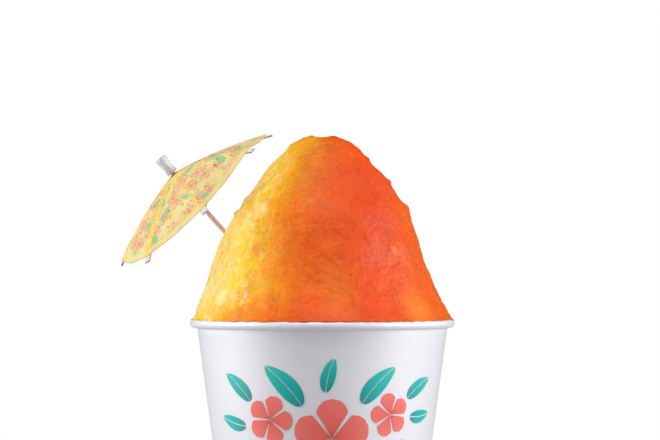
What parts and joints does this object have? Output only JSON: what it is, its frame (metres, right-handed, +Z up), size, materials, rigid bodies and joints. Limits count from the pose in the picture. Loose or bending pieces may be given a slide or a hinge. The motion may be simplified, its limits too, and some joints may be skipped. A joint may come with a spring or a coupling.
{
  "type": "shaved ice dessert",
  "caption": "Tall mound of syrup-soaked shaved ice heaped over the rim of a white tapered foam cup, with a paper cocktail umbrella stuck in its side.",
  "frame": {"origin": "centre of the cup's flat base, on the surface it stands on", "axes": "+Z up along the cup's axis; the front of the picture faces -Y; the umbrella leans out towards -X"},
  "size_m": [0.1476, 0.117, 0.1933],
  "materials": {
    "white_foam": "moulded white bead foam, matt",
    "syrup_ice": "packed fine shaved ice soaked with syrup, yellow on the left through orange to red-orange on the right",
    "printed_paper": "thin pale yellow paper with a printed blossom pattern",
    "card": "pale grey-pink card strip",
    "rolled_paper": "rolled pale paper",
    "birch": "plain birch, unvarnished",
    "frosted_plastic": "frosted translucent sleeve"
  },
  "bodies": {
    "root": {"cup": "white_foam", "shaved_ice": "syrup_ice", "umbrella_stick": "birch", "umbrella_canopy": "printed_paper", "umbrella_cap": "frosted_plastic", "umbrella_hub": "rolled_paper", "umbrella_runner": "rolled_paper", "rib_1": "card", "rib_2": "card", "rib_3": "card", "rib_4": "card", "rib_5": "card", "rib_6": "card", "rib_7": "card", "rib_8": "card", "strut_1": "card", "strut_2": "card", "strut_3": "card", "strut_4": "card", "strut_5": "card", "strut_6": "card", "strut_7": "card", "strut_8": "card"}
  },
  "joints": []
}
